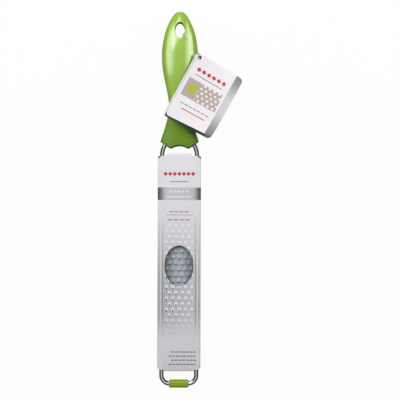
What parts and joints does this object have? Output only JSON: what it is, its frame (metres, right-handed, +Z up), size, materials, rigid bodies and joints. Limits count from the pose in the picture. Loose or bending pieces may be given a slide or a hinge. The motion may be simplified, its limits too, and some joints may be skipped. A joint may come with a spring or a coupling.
{
  "type": "hand grater",
  "caption": "Slim hand grater: teardrop handle, wire frame, toothed steel blade, soft foot, slide-off card sleeve with a window, and a folded tag on a nylon loop.",
  "frame": {"origin": "on the table the grater lies on, under the middle of the grater's length and width, tag and nylon loop left out", "axes": "+Y along the grater from the foot to the handle's tip, +Z up out of the toothed front, +X to the right seen from the front"},
  "size_m": [0.0736, 0.33, 0.0214],
  "materials": {
    "handle": "glossy moulded green plastic",
    "wire": "polished stainless wire",
    "blade": "satin stainless sheet",
    "foot": "soft green rubber",
    "sleeve_card": "printed coated card",
    "tag_card": "printed coated card",
    "nylon": "clear nylon"
  },
  "bodies": {
    "grater": {"handle": "handle", "frame_wire": "wire", "grating_blade": "blade", "foot_grip": "foot", "tag_tie": "nylon", "tie_lock": "nylon"},
    "sleeve": {"card_sleeve": "sleeve_card"},
    "tag_back": {"tag_back_leaf": "tag_card"},
    "tag_front": {"tag_front_leaf": "tag_card"}
  },
  "joints": [
    {"name": "sleeve_slide", "type": "slide", "parent": "grater", "child": "sleeve", "axis": [0, -1, 0], "range_m": [0, 0.21]},
    {"name": "tag_swing", "type": "hinge", "parent": "grater", "child": "tag_back", "pos_m": [0.0172, 0.1236, 0.01504], "axis": [0.3324, -0.0893, 0.9389], "range_deg": [0, 18]},
    {"name": "tag_open", "type": "hinge", "parent": "tag_back", "child": "tag_front", "pos_m": [0.0147, 0.12506, 0.01644], "axis": [-0.4679, -0.88, 0.0819], "range_deg": [0, 120]}
  ]
}
